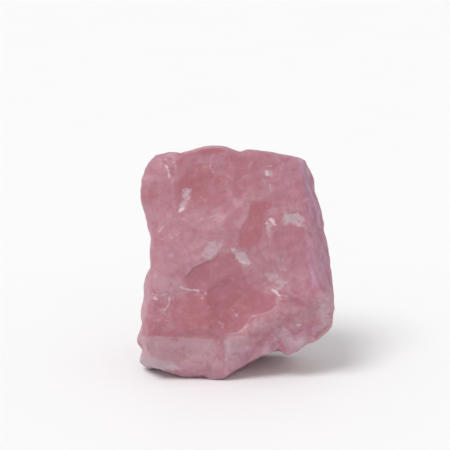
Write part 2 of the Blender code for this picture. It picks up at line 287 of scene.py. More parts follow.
# Zones of the front face as outlines of (across, up) points in millimetres, each with its strength and the
# softness of its border.
DEEP_ZONES = {
    "crown": (0.95, 2.2, (-20.5, 29.5), (-16, 32), (-15, 35), (-9, 34.5), (-8, 31), (-3, 30.5),
              (-3.5, 20), (-14, 19.5), (-20.5, 25.5)),
    "crown_edge": (0.5, 0.5, (-21, 17.5), (-20.8, 27), (-20.6, 38), (-14, 38.5), (-11, 30), (-13, 20)),
    "crown_shadow": (0.5, 1.0, (-15, 31), (-13, 33.5), (-11.5, 32.5), (-13.5, 30)),
    "crown_rim": (0.9, 1.2, (-19, 38), (-8, 40), (-3, 39.5), (-3, 38), (-10, 38), (-19, 36)),
    "heart": (1.0, 0.9, (5, 21.5), (13, 21), (12, 18.5), (9.5, 17.5), (9.5, 10), (7.5, 5.5), (1, 5.5),
              (1.5, 12), (5, 16)),
    "hollow": (0.62, 0.4, (-19, -6.5), (-15, -2), (-8, 0.8), (-5, 3.5), (-1, 3), (3, -3), (5, -9),
               (14, -12), (14.5, -15.5), (12, -17.5), (5, -19.5), (2, -24), (-3, -25), (-5, -27),
               (-30.6, -26), (-30.4, -15), (-24, -14), (-19, -12.2), (-15.5, -10)),
    "hollow_floor": (0.85, 3.0, (-20, -16), (-8, -9), (2, -9), (8, -12), (11, -16), (3, -21), (-5, -25),
                     (-20, -25)),
    "top_mid": (0.52, 2.0, (-3, 38), (10, 37), (9, 28), (4, 23), (-3, 22)),
    "right_plane": (0.16, 2.0, (19, 3), (24, 3), (27, -8), (25, -18), (17, -14), (19, -5)),
    "middle": (0.42, 2.0, (-5, 21), (4, 20), (1, 12), (1, 3), (-3, 6)),
    "top_right": (0.40, 2.5, (9, 37), (23, 35), (24, 20), (12, 22)),
    "top_left_facet": (0.44, 1.5, (-31, 31), (-26, 36), (-21.2, 38), (-21.2, 17), (-27, 15)),
    "hollow_left": (0.08, 1.0, (-30.6, -20), (-30.4, -12.4), (-20, -11.4), (-15, -10), (-16, -20)),
    "band_blush": (0.35, 1.2, (-27, -29.5), (-18, -29), (-16.2, -32.5), (-20, -35), (-27, -32.5)),
    "band_end": (0.40, 0.7, (-7.2, -26.8), (-4.2, -27.6), (-4.2, -36), (-7.2, -33)),
    "left_lobe": (0.6, 1.5, (-32, 29), (-27, 27), (-27, 19), (-31, 18), (-34, 23)),
}
PALE_ZONES = {
    "upper_plane": (0.05, 2.0, (-27, 18), (-14, 17), (-4, 16), (0, 10), (-6, 2), (-19, -4), (-28, -4)),
    "left_side": (0.9, 0.7, (-31, 12), (-29, 11), (-29.2, -4), (-29.9, -11), (-31.8, -22), (-34, -20),
                  (-32, 0)),
    "left_shelf": (0.85, 0.8, (-29, -4), (-20.5, -6), (-19.5, -9.5), (-27, -10.5), (-30, -9)),
    "foot_band": (0.97, 0.5, (-33, -26), (-7, -26.5), (-4.5, -30), (-4.3, -38), (-19, -37), (-32, -33)),
    "foot_facet": (1.0, 0.45, (-4, -27.5), (-2.5, -25.5), (5, -25.5), (4.5, -30), (2, -34), (0, -38),
                   (-4, -42)),
    "right_plane": (0.12, 2.0, (18, 0), (24, 0), (27, -10), (25, -20), (15, -17), (18, -9)),
    "right_corner": (1.0, 2.0, (29, -10), (36, -8), (36, -26), (26, -28), (27, -18)),
    "band_light": (0.75, 1.0, (-16, -27), (-7.4, -27), (-7.6, -33), (-12, -35), (-16, -31)),
    "heart_side": (0.4, 1.0, (-1, 23), (3, 21), (3.5, 16), (0, 12), (-2, 16)),
    # Partly painted light: the down-facing lower right is painted paler, standing in for light from below.
    "lower_right": (0.60, 2.0, (12, -24), (18, -21), (31, -21), (27, -28), (20, -34), (15, -31),
                    (9, -33), (10, -27)),
    "lumps": (0.35, 2.0, (5, -20), (13, -18), (18, -20), (13, -26), (7, -26)),
}
LILAC_ZONES = {
    "right_plane": (0.35, 2.0, (19, 2), (24, 2), (27, -8), (25, -18), (17, -14), (19, -5)),
    "right_strip": (1.0, 1.2, (21.5, 37), (26, 37), (34, 0), (34, -11), (27, -9), (24.5, 4), (24, 22)),
    "right_top": (0.4, 2.5, (14, 36), (22, 36), (22, 20), (14, 24)),
    "foot_bevel": (0.45, 0.8, (-34, -33), (-21, -35), (-5, -38), (-4, -43), (-20, -40), (-34, -38)),
    # Lilac of the lumps, laid on strongly: partly painted light from below on these down-facing facets.
    "lower_right": (0.6, 1.5, (12, -24), (18, -21), (30, -21), (26, -28), (20, -34), (15, -31), (9, -33),
                    (10, -27)),
    "foot_corner": (0.6, 1.5, (2, -30), (9, -30), (8, -36), (0, -40), (-2, -36)),
}
FROST_ZONES = {
    "top_edge": (0.5, 0.6, (-25, 38), (-21.5, 38), (-21.3, 35.5), (-23, 36)),
    "top_spot": (1.0, 0.6, (10.3, 32.2), (13.2, 32.4), (13.3, 30), (10.5, 30.3)),
    "top_spot_foot": (0.6, 0.5, (11.7, 27.3), (12.7, 27.3), (12.6, 24.9), (11.8, 24.9)),
    "top_fleck": (0.4, 0.7, (2.5, 31), (6, 31), (6, 29.8), (3, 29.6)),
    "upper_patch": (0.80, 0.6, (-18.8, 26.1), (-15.3, 25.9), (-15.3, 23.2), (-16.8, 21.6), (-17.4, 19.4),
                    (-18.6, 18.0), (-20.4, 18.0), (-20.2, 20.6), (-18.9, 22.2)),
    "heart_spot": (0.52, 0.6, (10.2, 15.6), (13.5, 15.2), (14.3, 13), (12.8, 11.2), (12.8, 8.6),
                   (10.5, 8.4), (10.2, 12)),
    "right_patch": (0.9, 0.6, (16.5, 14.4), (17.2, 18.6), (18.4, 17.2), (21.8, 17.4), (24.2, 15.6),
                    (24.2, 12.9), (17.5, 13)),
    "ridge_patch": (1.0, 0.6, (-3.0, 5.2), (0.8, 4.9), (3.8, 4.0), (6.0, -0.6), (3, -1.4), (0.2, 1.2)),
    # Painted light: the ridge's shoulder is a bevel whose brightness is painted in as frost.
    "ridge_shoulder": (0.75, 0.7, (-12, 0.6), (-9, 1), (-4.3, 5), (-4.3, 7.8), (-9.5, 7.6), (-12.2, 5)),
    "face_patch": (0.38, 0.8, (14.6, 2.0), (17.6, 1.4), (18.6, -3.6), (12.8, -3.4)),
    "face_patch_foot": (0.52, 0.7, (10, -3.7), (14, -3.2), (18.3, -6), (18.3, -9.6), (13.5, -9.8),
                        (10.6, -7)),
    "shelf_end": (0.5, 0.8, (-13.5, -9.6), (-10, -10.8), (-9.8, -12), (-14, -11.8)),
    "right_corner": (0.74, 1.2, (29.5, -13), (33.5, -12), (33.5, -22), (30.5, -23), (28.5, -18)),
    "lump_a": (0.50, 0.8, (12, -24.5), (17, -22.6), (20, -24.4), (17.4, -28), (13, -28.4)),
    "lump_b": (0.40, 0.8, (19, -27), (23.5, -25.2), (25.4, -27.6), (21.6, -30.4)),
    "lump_c": (0.34, 0.8, (6, -22.4), (10.6, -20.6), (12.8, -22), (9.4, -25)),
    "foot_band_haze": (0.30, 1.5, (-31, -27), (-5, -27.4), (-5, -35), (-20, -34.6), (-31, -32)),
    "hollow_haze": (0.19, 2.0, (-30, -13), (-21, -13), (-18, -17), (-22, -24), (-30, -24)),
    "foot_facet": (0.42, 0.6, (-3.6, -28), (3, -26.5), (3.6, -30), (1, -34), (-3, -37)),
    "foot_facet_side": (0.72, 0.8, (-4, -28), (-2, -26), (-1.5, -34), (-4, -36)),
    # Partly painted light: the down-facing bevel at the foot is painted frosted white, standing in for light
    # from below.
    "foot_bevel": (1.6, 0.6, (-34, -32.6), (-28, -33.6), (-21.5, -35), (-19.5, -37.5), (-34, -38)),
    "hollow_fleck": (0.35, 0.8, (-7, -17.6), (-4.2, -17.8), (-4, -20), (-6.8, -20.4)),
    "band_fleck_a": (0.5, 0.7, (-9.8, -27), (-6.8, -27.4), (-6.8, -29.2), (-9.8, -29.6)),
    "band_fleck_b": (0.4, 0.7, (-13, -27), (-10.6, -27.4), (-11, -29), (-13, -28.8)),
    "corner_fleck": (0.5, 0.8, (21.2, -21.4), (23.4, -21.6), (23.2, -23), (21.4, -23)),
}
# Painted highlights along the edges of small steps: strength, half width, then the points that each
# follows. Each is full up to the first share of its half width in GLINT_BORDER, and ends at the second.
GLINTS = {
    "crown_streak": (0.80, 0.32, (-23.9, 33.4), (-23.5, 31.5), (-23.3, 29.9)),
    "crown_streak_side": (0.50, 0.22, (-21.6, 36), (-21.0, 33.8), (-21.1, 31.4)),
    "lens_left": (0.35, 0.30, (-7.6, 38), (-8.7, 36), (-8.7, 33), (-7.6, 31.4)),
    "lens_right": (0.25, 0.22, (-2.4, 36.2), (-1.8, 34.4), (-2.2, 32.6)),
    "side_streak": (0.70, 0.22, (-27.2, 10.4), (-26.3, 11.6), (-25.1, 12.8)),
    "side_streak_low": (0.45, 0.22, (-22.4, 8.2), (-20.8, 8.8), (-20.0, 10.2)),
    "side_streak_mid": (0.30, 0.22, (-26.2, 7.6), (-24.4, 8.6)),
    "side_streak_foot": (0.26, 0.20, (-29.6, 7.0), (-28.8, 5.0)),
    "side_streak_edge": (0.40, 0.20, (-26.8, 9.4), (-26.5, 8.0)),
    "shelf_lip": (0.90, 0.32, (-19.4, -8.6), (-18.2, -9.3), (-15, -9.7), (-13, -10)),
    "shelf_lip_end": (0.60, 0.20, (-12.8, -10.2), (-11.2, -10.4), (-9.8, -11.2)),
    "shelf_drop_a": (0.70, 0.28, (-23.0, -12.2), (-23.2, -13.8), (-23.8, -15.2), (-25, -16.8)),
    "shelf_drop_b": (0.60, 0.22, (-21.5, -11.8), (-21.5, -14.6)),
    "shelf_drop_c": (0.35, 0.20, (-20.4, -11.0), (-20.5, -13.6)),
    "shelf_side": (0.35, 0.28, (-29.6, -11.0), (-26.6, -11.6), (-24.0, -11.2)),
    "shelf_spot": (0.70, 0.55, (-28.8, -12.6), (-28.2, -13.0)),
    "upper_patch_tip": (1.00, 0.45, (-19.6, 18.0), (-18.5, 18.7)),
    "upper_patch_side": (0.50, 0.30, (-16.8, 22.0), (-15.4, 22.9)),
    "heart_glint": (1.00, 0.55, (12.2, 14.9), (13.2, 13.9)),
    "heart_glint_side": (0.60, 0.35, (10.4, 13.2), (11.2, 14.6)),
    "heart_glint_low": (0.70, 0.30, (13.4, 13.2), (14.2, 13.0)),
    "top_glint": (0.90, 0.55, (10.9, 31.6), (11.2, 30.8)),
    "top_glint_high": (0.50, 0.25, (11.4, 33.6), (12.6, 33.7)),
    "right_patch_foot": (0.45, 0.22, (18.3, 13.0), (24.0, 13.0)),
    "ridge_patch_edge": (0.60, 0.30, (-1.8, 4.4), (0.6, 4.3), (2.6, 3.4)),
    "ridge_patch_foot": (0.70, 0.35, (0.4, 1.8), (1.8, 0.2), (4.8, -0.6)),
    "face_lip": (1.00, 0.38, (13, -9.8), (14.2, -10.6), (15.2, -11.6)),
    "face_lip_end": (0.60, 0.20, (15.2, -11.7), (18.3, -11.8)),
    "band_ring": (0.28, 0.28, (-19.8, -31.8), (-18.2, -31.2), (-16.8, -32.4), (-17.0, -34.2),
                  (-18.8, -34.8), (-20.2, -33.6), (-19.8, -31.8)),
    "band_ring_small": (0.25, 0.25, (-12.6, -30.6), (-11.4, -30.4), (-11.0, -31.6), (-12.2, -32.2),
                        (-12.6, -30.6)),
    "hollow_arc": (0.38, 0.28, (-0.8, -16.6), (0.3, -18.8), (1.4, -17.6)),
    "hollow_hook": (0.42, 0.32, (-6.4, -20.8), (-5.4, -21.6), (-4.2, -21.6), (-4.6, -23)),
    "hollow_rim": (0.35, 0.30, (-2.2, -25.2), (1.5, -24.4), (3.8, -22.2), (4.8, -19.4), (8, -18.3),
                   (12.4, -17.4), (13.6, -15.6), (15.4, -15.6)),
    "corner_spot": (0.60, 0.40, (21.8, -22.2), (22.8, -22.2)),
    "right_fleck": (0.60, 0.30, (26.8, -13.2), (27.2, -13.4)),
    "right_vein": (0.30, 0.20, (18.6, 29.6), (18.8, 26)),
    "strip_glint": (0.40, 0.18, (30.1, 5), (30.0, 1.5)),
}
GLINT_BORDER = (0.3, 1.7)


def upright_way(across, up, out):
    """A face-frame direction as an upright one."""
    lean, rise = math.sin(FACE_LEAN), math.cos(FACE_LEAN)
    return across, up * lean - out * rise, up * rise + out * lean


def face_way(x, y, z):
    """An upright direction as a face-frame one."""
    lean, rise = math.sin(FACE_LEAN), math.cos(FACE_LEAN)
    return x, y * lean + z * rise, z * lean - y * rise


def to_face(points):
    """Upright points in metres as face-frame ones in millimetres."""
    return np.stack(face_way(*np.moveaxis(points / MM - MIDDLE, -1, 0)), axis=-1)


def to_world(points):
    """Face-frame points in millimetres as upright ones in metres."""
    ways = np.moveaxis(np.asarray(points, float), -1, 0)
    return (np.stack(upright_way(*ways), axis=-1) + MIDDLE) * MM


def smoothstep(low, high, values):
    """A smooth rise from 0 at low to 1 at high."""
    t = np.clip((values - low) / (high - low), 0.0, 1.0)
    return t * t * (3.0 - 2.0 * t)


def thinned(amount, share):
    """1 where amount is 0, and share where it is 1."""
    return 1.0 - (1.0 - share) * amount


def noise_at(points, size, seed):
    """Smooth noise of about -1 to 1 at points in mm, with features about size mm wide."""
    shifted = points / size + np.array(NOISE_SHIFT) * (seed + 1)
    return np.array([noise.noise(p) for p in shifted.tolist()])


class Surface:
    """A mesh's points in face-frame millimetres, with its normals and neighbours."""

    def __init__(self, mesh):
        self.mesh = mesh
        self.points = to_face(read_points(mesh))
        self.edges = np.empty(len(mesh.edges) * 2, np.int64)
        mesh.edges.foreach_get("vertices", self.edges)
        self.edges = self.edges.reshape(-1, 2)
        self.degree = np.bincount(self.edges.ravel(), minlength=len(self.points)).clip(1)

    def averaged(self, values, rounds, share):
        """values moved by share towards the mean of their neighbours, as many times as rounds says."""
        for _ in range(rounds):
            total = np.zeros_like(values)
            np.add.at(total, self.edges[:, 0], values[self.edges[:, 1]])
            np.add.at(total, self.edges[:, 1], values[self.edges[:, 0]])
            degree = self.degree if values.ndim == 1 else self.degree[:, None]
            values = values + (total / degree - values) * share
        return values

    def normals(self):
        write_points(self.mesh, to_world(self.points))
        self.mesh.update()
        upright = np.empty(len(self.points) * 3, np.float32)
        self.mesh.vertices.foreach_get("normal", upright)
        return np.stack(face_way(*upright.reshape(-1, 3).astype(float).T), axis=-1)


def read_points(mesh):
    points = np.empty(len(mesh.vertices) * 3, np.float32)
    mesh.vertices.foreach_get("co", points)
    return points.reshape(-1, 3).astype(float)


def write_points(mesh, points):
    mesh.vertices.foreach_set("co", points.astype(np.float32).ravel())


def write_field(mesh, name, values):
    mesh.attributes.new(name, "FLOAT", "POINT").data.foreach_set("value", values.astype(np.float32))


def fine_copy(node):
    """A new object with the node's shape on an even mesh of small faces."""
    piece = bpy.data.objects.new("rose_quartz_surface", node.data.copy())
    bpy.context.scene.collection.objects.link(piece)
    remesh = piece.modifiers.new("even_faces", "REMESH")
    remesh.mode = "VOXEL"
    remesh.voxel_size = VOXEL * MM
    remesh.use_smooth_shade = True
    bpy.context.view_layer.update()
    fine = bpy.data.meshes.new_from_object(piece.evaluated_get(bpy.context.evaluated_depsgraph_get()))
    coarse = piece.data
    piece.modifiers.clear()
    piece.data = fine
    fine.name = piece.name
    bpy.data.meshes.remove(coarse)
    return piece


def nearest_of(seeds, points, count):
    """The indices of the count seeds nearest to each point, a column for each rank."""
    tree = kdtree.KDTree(len(seeds))
    for index, seed in enumerate(seeds.tolist()):
        tree.insert(seed, index)
    tree.balance()
    return np.array([[hit[1] for hit in tree.find_n(p, count)] for p in points.tolist()]).T


def tangent_slopes(rng, facing, slope):
    """Random slopes along the surface, one for each direction in facing."""
    slopes = rng.normal(0.0, slope, facing.shape)
    return slopes - facing * (slopes * facing).sum(1, keepdims=True)


def warped_by(points, amount, size, seed):
    """points moved about by up to amount mm, in waves about size mm wide."""
    return points + amount * np.stack([noise_at(points, size, seed + axis) for axis in range(3)], axis=-1)


def faceted(points, normals, spacing, radius, tilt, lift, most, seed, near=None):
    """A surface broken into nearly flat facets that meet in ridges: its height in mm, and at each point its
    facet's chance number from 0 to 1. With near, only that many of the nearest facets are tried."""
    rng = np.random.default_rng(seed)
    warped = warped_by(points, spacing * FACET_WARP, spacing * FACET_WARP_SIZE, seed)
    chosen = rng.choice(len(points), int(len(points) * VOXEL ** 2 / spacing ** 2), replace=False)
    centres = points[chosen]
    slopes = tangent_slopes(rng, normals[chosen], tilt)
    lifts = rng.uniform(-lift, lift, len(centres))
    height = np.full(len(points), np.inf)
    owner = np.zeros(len(points), int)
    for facet in nearest_of(centres, warped, near) if near else range(len(centres)):
        away = warped - centres[facet]
        tilted = np.einsum("ij,ij->i", away, np.broadcast_to(slopes[facet], away.shape))
        bowl = lifts[facet] + tilted + np.einsum("ij,ij->i", away, away) / (2.0 * radius)
        owner = np.where(bowl < height, facet, owner)
        height = np.minimum(height, bowl)
    height -= np.median(height)
    return most * np.tanh(height / most), rng.uniform(0.0, 1.0, len(centres))[owner]


def ledged(points, size, swell, rise, seed):
    """Height in mm of ledges along the contours of a slow swell with a smaller one on it."""
    ripple = LEDGE_RIPPLE * noise_at(points, size * LEDGE_RIPPLE_SIZE, seed + 1)
    level = swell * (noise_at(points, size, seed) + ripple) / rise
    step = level - np.floor(level)
    return (smoothstep(*LEDGE_RISER, step) - step) * rise


def broken_relief(here, normals, front):
    """Height in mm of the flats, creases, ledges and flakes that the stone broke along, less on the front.
    With it come the mean chance number of the flats and that of the flake at each point."""
    hackly = smoothstep(-0.30, 0.40, noise_at(here, **HACKLY_PATTERN))
    broad, broad_chance = faceted(here, normals, **BROAD_FACETS)
    small, small_chance = faceted(here, normals, **SMALL_FACETS)
    creased, crease_chance = faceted(here, normals, **CREASES)
    flakes, flake_chance = faceted(here, normals, **FLAKES)
    ledges = ledged(here, **LEDGES) * smoothstep(-0.1, 0.15, noise_at(here, **LEDGED_PATTERN))

    height = small * thinned(1.0 - hackly, CALM_FACETS) - creased * CREASE_SHARE
    height += ledges * (1.0 - front)
    height *= thinned(front, FRONT_RELIEF)
    height += broad * thinned(front, FRONT_BROAD)
    height += flakes * thinned(1.0 - hackly, CALM_FLAKES) * thinned(front, FRONT_FLAKES)
    return height, (broad_chance + small_chance + crease_chance) / 3.0, flake_chance


def lumps(points):
    """Height in mm of rounded lumps with creases between them, and smaller ones on them."""
    warped = warped_by(points, **LUMP_WARP)
    swell = np.abs(noise_at(warped, LUMP_SPACING, LUMP_SEED))
    swell += SMALL_LUMP_SHARE * noise_at(warped, LUMP_SPACING * SMALL_LUMP_SIZE, LUMP_SEED + 1)
    return LUMP_HEIGHT * (2.6 * swell - 0.6)


def stripes(points):
    """Height in mm of the long stripes down the right side."""
    wander = STRIPE_WANDER * noise_at(points * STRIPE_WANDER_SQUEEZE, **STRIPE_WANDER_PATTERN)
    phase = (points @ np.array(STRIPES_ACROSS) + wander) / STRIPE_SPACING
    saw = phase - np.floor(phase)
    strength = smoothstep(-0.4, 0.5, noise_at(points * STRIPE_GAPS_SQUEEZE, **STRIPE_GAPS_PATTERN))
    return STRIPE_HEIGHT * strength * (saw - smoothstep(STRIPE_CREST, 1.0, saw))


def stepped(seen):
    """Height in mm of the steps of STEPS."""
    height = np.zeros(len(seen))
    for depth, reach, *path in STEPS.values():
        path = np.array(path, float)
        lengths = np.linalg.norm(np.diff(path, axis=0), axis=1)
        nearest = np.full(len(seen), np.inf)
        lower = np.zeros(len(seen))
        from_end = np.zeros(len(seen))
        passed = 0.0
        for start, end, length in zip(path, path[1:], lengths):
            way = (end - start) / length
            along = np.clip((seen - start) @ way, 0.0, length)
            away = np.linalg.norm(seen - start - along[:, None] * way, axis=1)
            right = (seen - start) @ (way[1], -way[0])
            closer = away < nearest
            nearest[closer] = away[closer]
            lower[closer] = (away * np.sign(right))[closer]
            from_end[closer] = np.minimum(passed + along, lengths.sum() - passed - along)[closer]
            passed += length
        fall = smoothstep(*STEP_LIP, lower) * (1.0 - smoothstep(STEP_FLOOR, 1.0, lower / reach))
        height -= depth * fall * smoothstep(0.0, STEP_END, from_end)
    return height


def from_segment(seen, start, end):
    """How far each point is from the straight line between two points."""
    along = np.asarray(end, float) - start
    t = np.clip(((seen - start) @ along) / (along @ along), 0.0, 1.0)
    return np.linalg.norm(seen - start - t[:, None] * along, axis=1)


def inside_by(seen, outline):
    """How far points lie inside a closed outline, in millimetres; below 0 outside."""
    starts = np.array(outline, float)
    ends = np.roll(starts, -1, axis=0)
    nearest = np.full(len(seen), np.inf)
    within = np.zeros(len(seen), bool)
    for start, end in zip(starts, ends):
        nearest = np.minimum(nearest, from_segment(seen, start, end))
        spans = (start[1] > seen[:, 1]) != (end[1] > seen[:, 1])
        with np.errstate(divide="ignore", invalid="ignore"):
            crossing = start[0] + (seen[:, 1] - start[1]) * (end[0] - start[0]) / (end[1] - start[1])
        within ^= spans & (seen[:, 0] < crossing)
    return np.where(within, nearest, -nearest)


def zone_share(seen, zones, fade=1.0):
    """How strongly each point belongs to the strongest of the zones. fade stretches the inner half of their
    soft borders."""
    share = np.zeros(len(seen))
    for strength, softness, *outline in zones.values():
        inside = smoothstep(-softness, softness * fade, inside_by(seen, outline))
        share = np.maximum(share, strength * inside)
    return share


def glint_share(seen, glints):
    """How strongly each point lies on the strongest of the glints, the painted highlights."""
    full, none = GLINT_BORDER
    share = np.zeros(len(seen))
    for strength, half_width, *path in glints.values():
        for start, end in zip(path, path[1:]):
            away = from_segment(seen, np.array(start, float), end)
            on_glint = 1.0 - smoothstep(half_width * full, half_width * none, away)
            share = np.maximum(share, strength * on_glint)
    return share


def seen_from_front(points):
    """Where each point appears from VIEWPOINT, as across and up on the plane through the stone's middle."""
    reach = VIEWPOINT[2] / (VIEWPOINT[2] - points[:, 2:3])
    return (VIEWPOINT + (points - VIEWPOINT) * reach)[:, :2]


def inside_outline(seen):
    """How far each point lies inside the stone's outline as seen from the front, in millimetres."""
    away = seen - (seen.min(0) + seen.max(0)) / 2.0
    reach = np.hypot(*away.T)
    turn = (np.arctan2(away[:, 1], away[:, 0]) / math.tau + 0.5) * OUTLINE_SECTORS
    farthest = np.zeros(OUTLINE_SECTORS)
    np.maximum.at(farthest, turn.astype(int) % OUTLINE_SECTORS, reach)
    around = np.arange(-1, OUTLINE_SECTORS + 1)
    return np.interp(turn, around + 0.5, farthest[around % OUTLINE_SECTORS]) - reach


def nudged(points, seen):
    """points with the bulges and hollows of NUDGES."""
    points = points.copy()
    for middle, push, reach in NUDGES.values():
        near = np.exp(-((seen - middle) ** 2).sum(1) / (2.0 * (reach / 2.0) ** 2))
        points[:, :2] += near[:, None] * push
    return points


def quartz_surface(node):
    """The broken quartz surface, with the fields that its material reads."""
    piece = fine_copy(node)
    mesh = piece.data
    surface = Surface(mesh)
    flat = to_world(surface.points)[:, 2] < BASE_MARGIN * MM

    surface.points = surface.averaged(surface.points, BASE_SMOOTHING, 0.5)
    coarse = surface.averaged(surface.points, COARSE_SMOOTHING, 0.5)
    normals = surface.averaged(surface.normals(), NORMAL_SMOOTHING, 0.8)
    normals /= np.linalg.norm(normals, axis=1, keepdims=True)

    seen = seen_from_front(surface.points)
    front = smoothstep(*FRONT_FACING, normals[:, 2])
    worn_away = zone_share(seen, WORN_ZONES) * front
    surface.points += (coarse - surface.points) * worn_away[:, None]
    here = surface.points
    warp = sum(warped_by(here, **kind)[:, :2] - here[:, :2] for kind in BORDER_WARPS)
    frost = zone_share(seen + warp * WOBBLE["frost"], FROST_ZONES, FROST_FADE) * front
    glint = glint_share(seen + warp * WOBBLE["glint"], GLINTS) * front

    height, flat_chance, flake_chance = broken_relief(here, normals, front)
    height += stepped(seen + warp * WOBBLE["steps"]) * front
    height += GRAIN_HEIGHT * noise_at(here, **GRAIN_PATTERN)
    height += stripes(here) * zone_share(seen + warp, {"side": STRIPES_ZONE})
    lumpy = lumps(here) * zone_share(seen + warp, {"lumps": LUMPS_ZONE}) * smoothstep(0.0, 0.6, front)
    height += lumpy
    height -= SCAR_DEPTH * frost
    height += GLINT_RISE * glint
    height -= SUNK * (1.0 - front)

    # The outline keeps its shape, with small bumps.
    inside = inside_outline(seen)
    rim = 1.0 - smoothstep(*RIM_BORDER, inside)
    height *= thinned(rim, RIM_RELIEF)
    height += rim * RIM_BUMPS * noise_at(here, **RIM_PATTERN)
    height += RIM_GROWTH * (1.0 - smoothstep(0.0, RIM_GROWTH_REACH, inside))

    # Ridges are worn and nicked.
    ridge = smoothstep(*WORN_RIDGES, ((here - coarse) * normals).sum(1))
    height -= ridge * (EDGE_WEAR + EDGE_NICKS * np.abs(noise_at(here, **NICK_PATTERN)))

    height = np.where(height > 0.0, HIGHEST * np.tanh(height / HIGHEST), height)
    height[flat] = 0.0
    surface.points = here + normals * height[:, None]
    surface.points[~flat] = nudged(surface.points[~flat], seen[~flat])

    for name, zones in (("deep", DEEP_ZONES), ("pale", PALE_ZONES), ("lilac", LILAC_ZONES)):
        strength, low, high, seed = CLOUDS[name]
        cloud = noise_at(here, CLOUD_SPACING, seed)
        cloud += SMALL_CLOUD_SHARE * noise_at(here, SMALL_CLOUD_SPACING, seed + 1)
        elsewhere = strength * smoothstep(low, high, cloud)
        on_front = zone_share(seen + warp * WOBBLE[name], zones)
        write_field(mesh, name, on_front * front + elsewhere * (1.0 - front))

    # Some flakes are frosted, and each facet has a tone of its own.
    flecked = smoothstep(-0.1, 0.5, noise_at(here, **FLECK_PATTERN))
    flecks = smoothstep(*FROSTED_CHANCE, flake_chance) * flecked
    flecks = surface.averaged(flecks * FLECK_FROST, 1, 0.5)
    tone = surface.averaged(flat_chance * 2.0 - 1.0, 1, 0.5)
    crease = surface.points - surface.averaged(surface.points, CREASE_SMOOTHING, 0.6)
    crease = surface.averaged((crease * surface.normals()).sum(1), 1, 0.6)
    write_field(mesh, "tone", tone * thinned(front, FRONT_TONE))
    write_field(mesh, "front", front)
    write_field(mesh, "frost", frost + flecks * (1.0 - front))
    write_field(mesh, "glint", glint)
    # The lumps' heights, for the painted light on their tops and the painted shade between them.
    write_field(mesh, "lump", lumpy / LUMP_HEIGHT)
    # Bends of the surface, for the ridges, which are lighter and partly highlit, and the painted shade in
    # creases.
    write_field(mesh, "edge", np.clip(crease / SHARP_EDGE, -1.5, 1.5))

    upright = to_world(surface.points)
    upright[flat, 2] = 0.0
    upright[:, 2] = upright[:, 2].clip(0.0)
    write_points(mesh, upright)
    mesh.polygons.foreach_set("use_smooth", [True] * len(mesh.polygons))
    mesh.update()
    return piece


class Graph:
    """Short calls that add nodes to a material or a world."""

    def __init__(self, owner):
        owner.use_nodes = True
        self.tree = owner.node_tree
        self.tree.nodes.clear()

    def add(self, kind, inputs=(), **settings):
        node = self.tree.nodes.new(kind)
        for name, value in settings.items():
            setattr(node, name, value)
        for name, value in dict(inputs).items():
            self.plug(node.inputs[name], value)
        return node

    def plug(self, socket, value):
        if isinstance(value, bpy.types.NodeSocket):
            self.tree.links.new(value, socket)
        else:
            socket.default_value = value

    def field(self, name):
        return self.add("ShaderNodeAttribute", attribute_name=name).outputs["Fac"]

    def noise(self, where, size, detail=2.0, roughness=0.55, distortion=0.0):
        """Noise of 0 to 1 with features about size mm wide."""
        node = self.add("ShaderNodeTexNoise", {
            "Vector": where, "Scale": 1.0 / (size * MM), "Detail": detail, "Roughness": roughness,
            "Distortion": distortion})
        return node.outputs["Fac"]

    def math(self, operation, *values):
        node = self.add("ShaderNodeMath", operation=operation)
        for socket, value in zip(node.inputs, values):
            self.plug(socket, value)
        return node.outputs["Value"]

    def vector(self, operation, *values, output="Vector"):
        node = self.add("ShaderNodeVectorMath", operation=operation)
        for socket, value in zip(node.inputs, values):
            self.plug(socket, value)
        return node.outputs[output]

    def dot(self, first, second):
        return self.vector("DOT_PRODUCT", first, second, output="Value")

    def step(self, value, low, high, to_low=0.0, to_high=1.0):
        """A smooth change from to_low, where value is low, to to_high, where it is high."""
        node = self.add("ShaderNodeMapRange", {
            "Value": value, "From Min": low, "From Max": high, "To Min": to_low, "To Max": to_high},
            interpolation_type="SMOOTHSTEP")
        return node.outputs["Result"]

    def facing(self, elsewhere, on_front):
        """A value that goes from elsewhere to on_front over the border of the front face."""
        return self.step(self.field("front"), 0.2, 0.9, elsewhere, on_front)

    def mix(self, share, first, second):
        node = self.add("ShaderNodeMix", data_type="RGBA")
        self.plug(node.inputs["Factor"], share)
        self.plug(node.inputs[6], first)
        self.plug(node.inputs[7], second)
        return node.outputs[2]

    def broken(self, name, grain, low, high, most=1.0, amount=0.8, everywhere=1.0):
        """The named field, broken up by the grain; everywhere is the share of the grain that is left outside
        it."""
        value = self.field(name)
        reach = self.step(value, 0.0, 0.25, amount * everywhere, amount)
        swing = self.math("MULTIPLY", self.math("SUBTRACT", grain, 0.5), reach)
        return self.step(self.math("ADD", value, swing), low, high, 0.0, most)


def streaked(g, here, colour):
    """The colour with light and dark streaks where it is lilac."""
    along = g.math("MULTIPLY", g.dot(here, upright_way(*STREAK_ALONG)), STREAK_ALONG_SQUEEZE)
    out = g.math("MULTIPLY", g.dot(here, upright_way(*STREAK_OUT)), STREAK_OUT_SQUEEZE)
    where = g.add("ShaderNodeCombineXYZ", {
        "X": g.dot(here, upright_way(*STREAK_ACROSS)), "Y": along, "Z": out})
    streak = g.noise(where.outputs["Vector"], STREAK_SIZE)
    strength = g.step(g.field("lilac"), 0.2, 1.0, 0.0, STREAK_STRENGTH)
    for start, full, tint in STREAKS:
        colour = g.mix(g.math("MULTIPLY", g.step(streak, start, full), strength), colour, tint)
    return colour


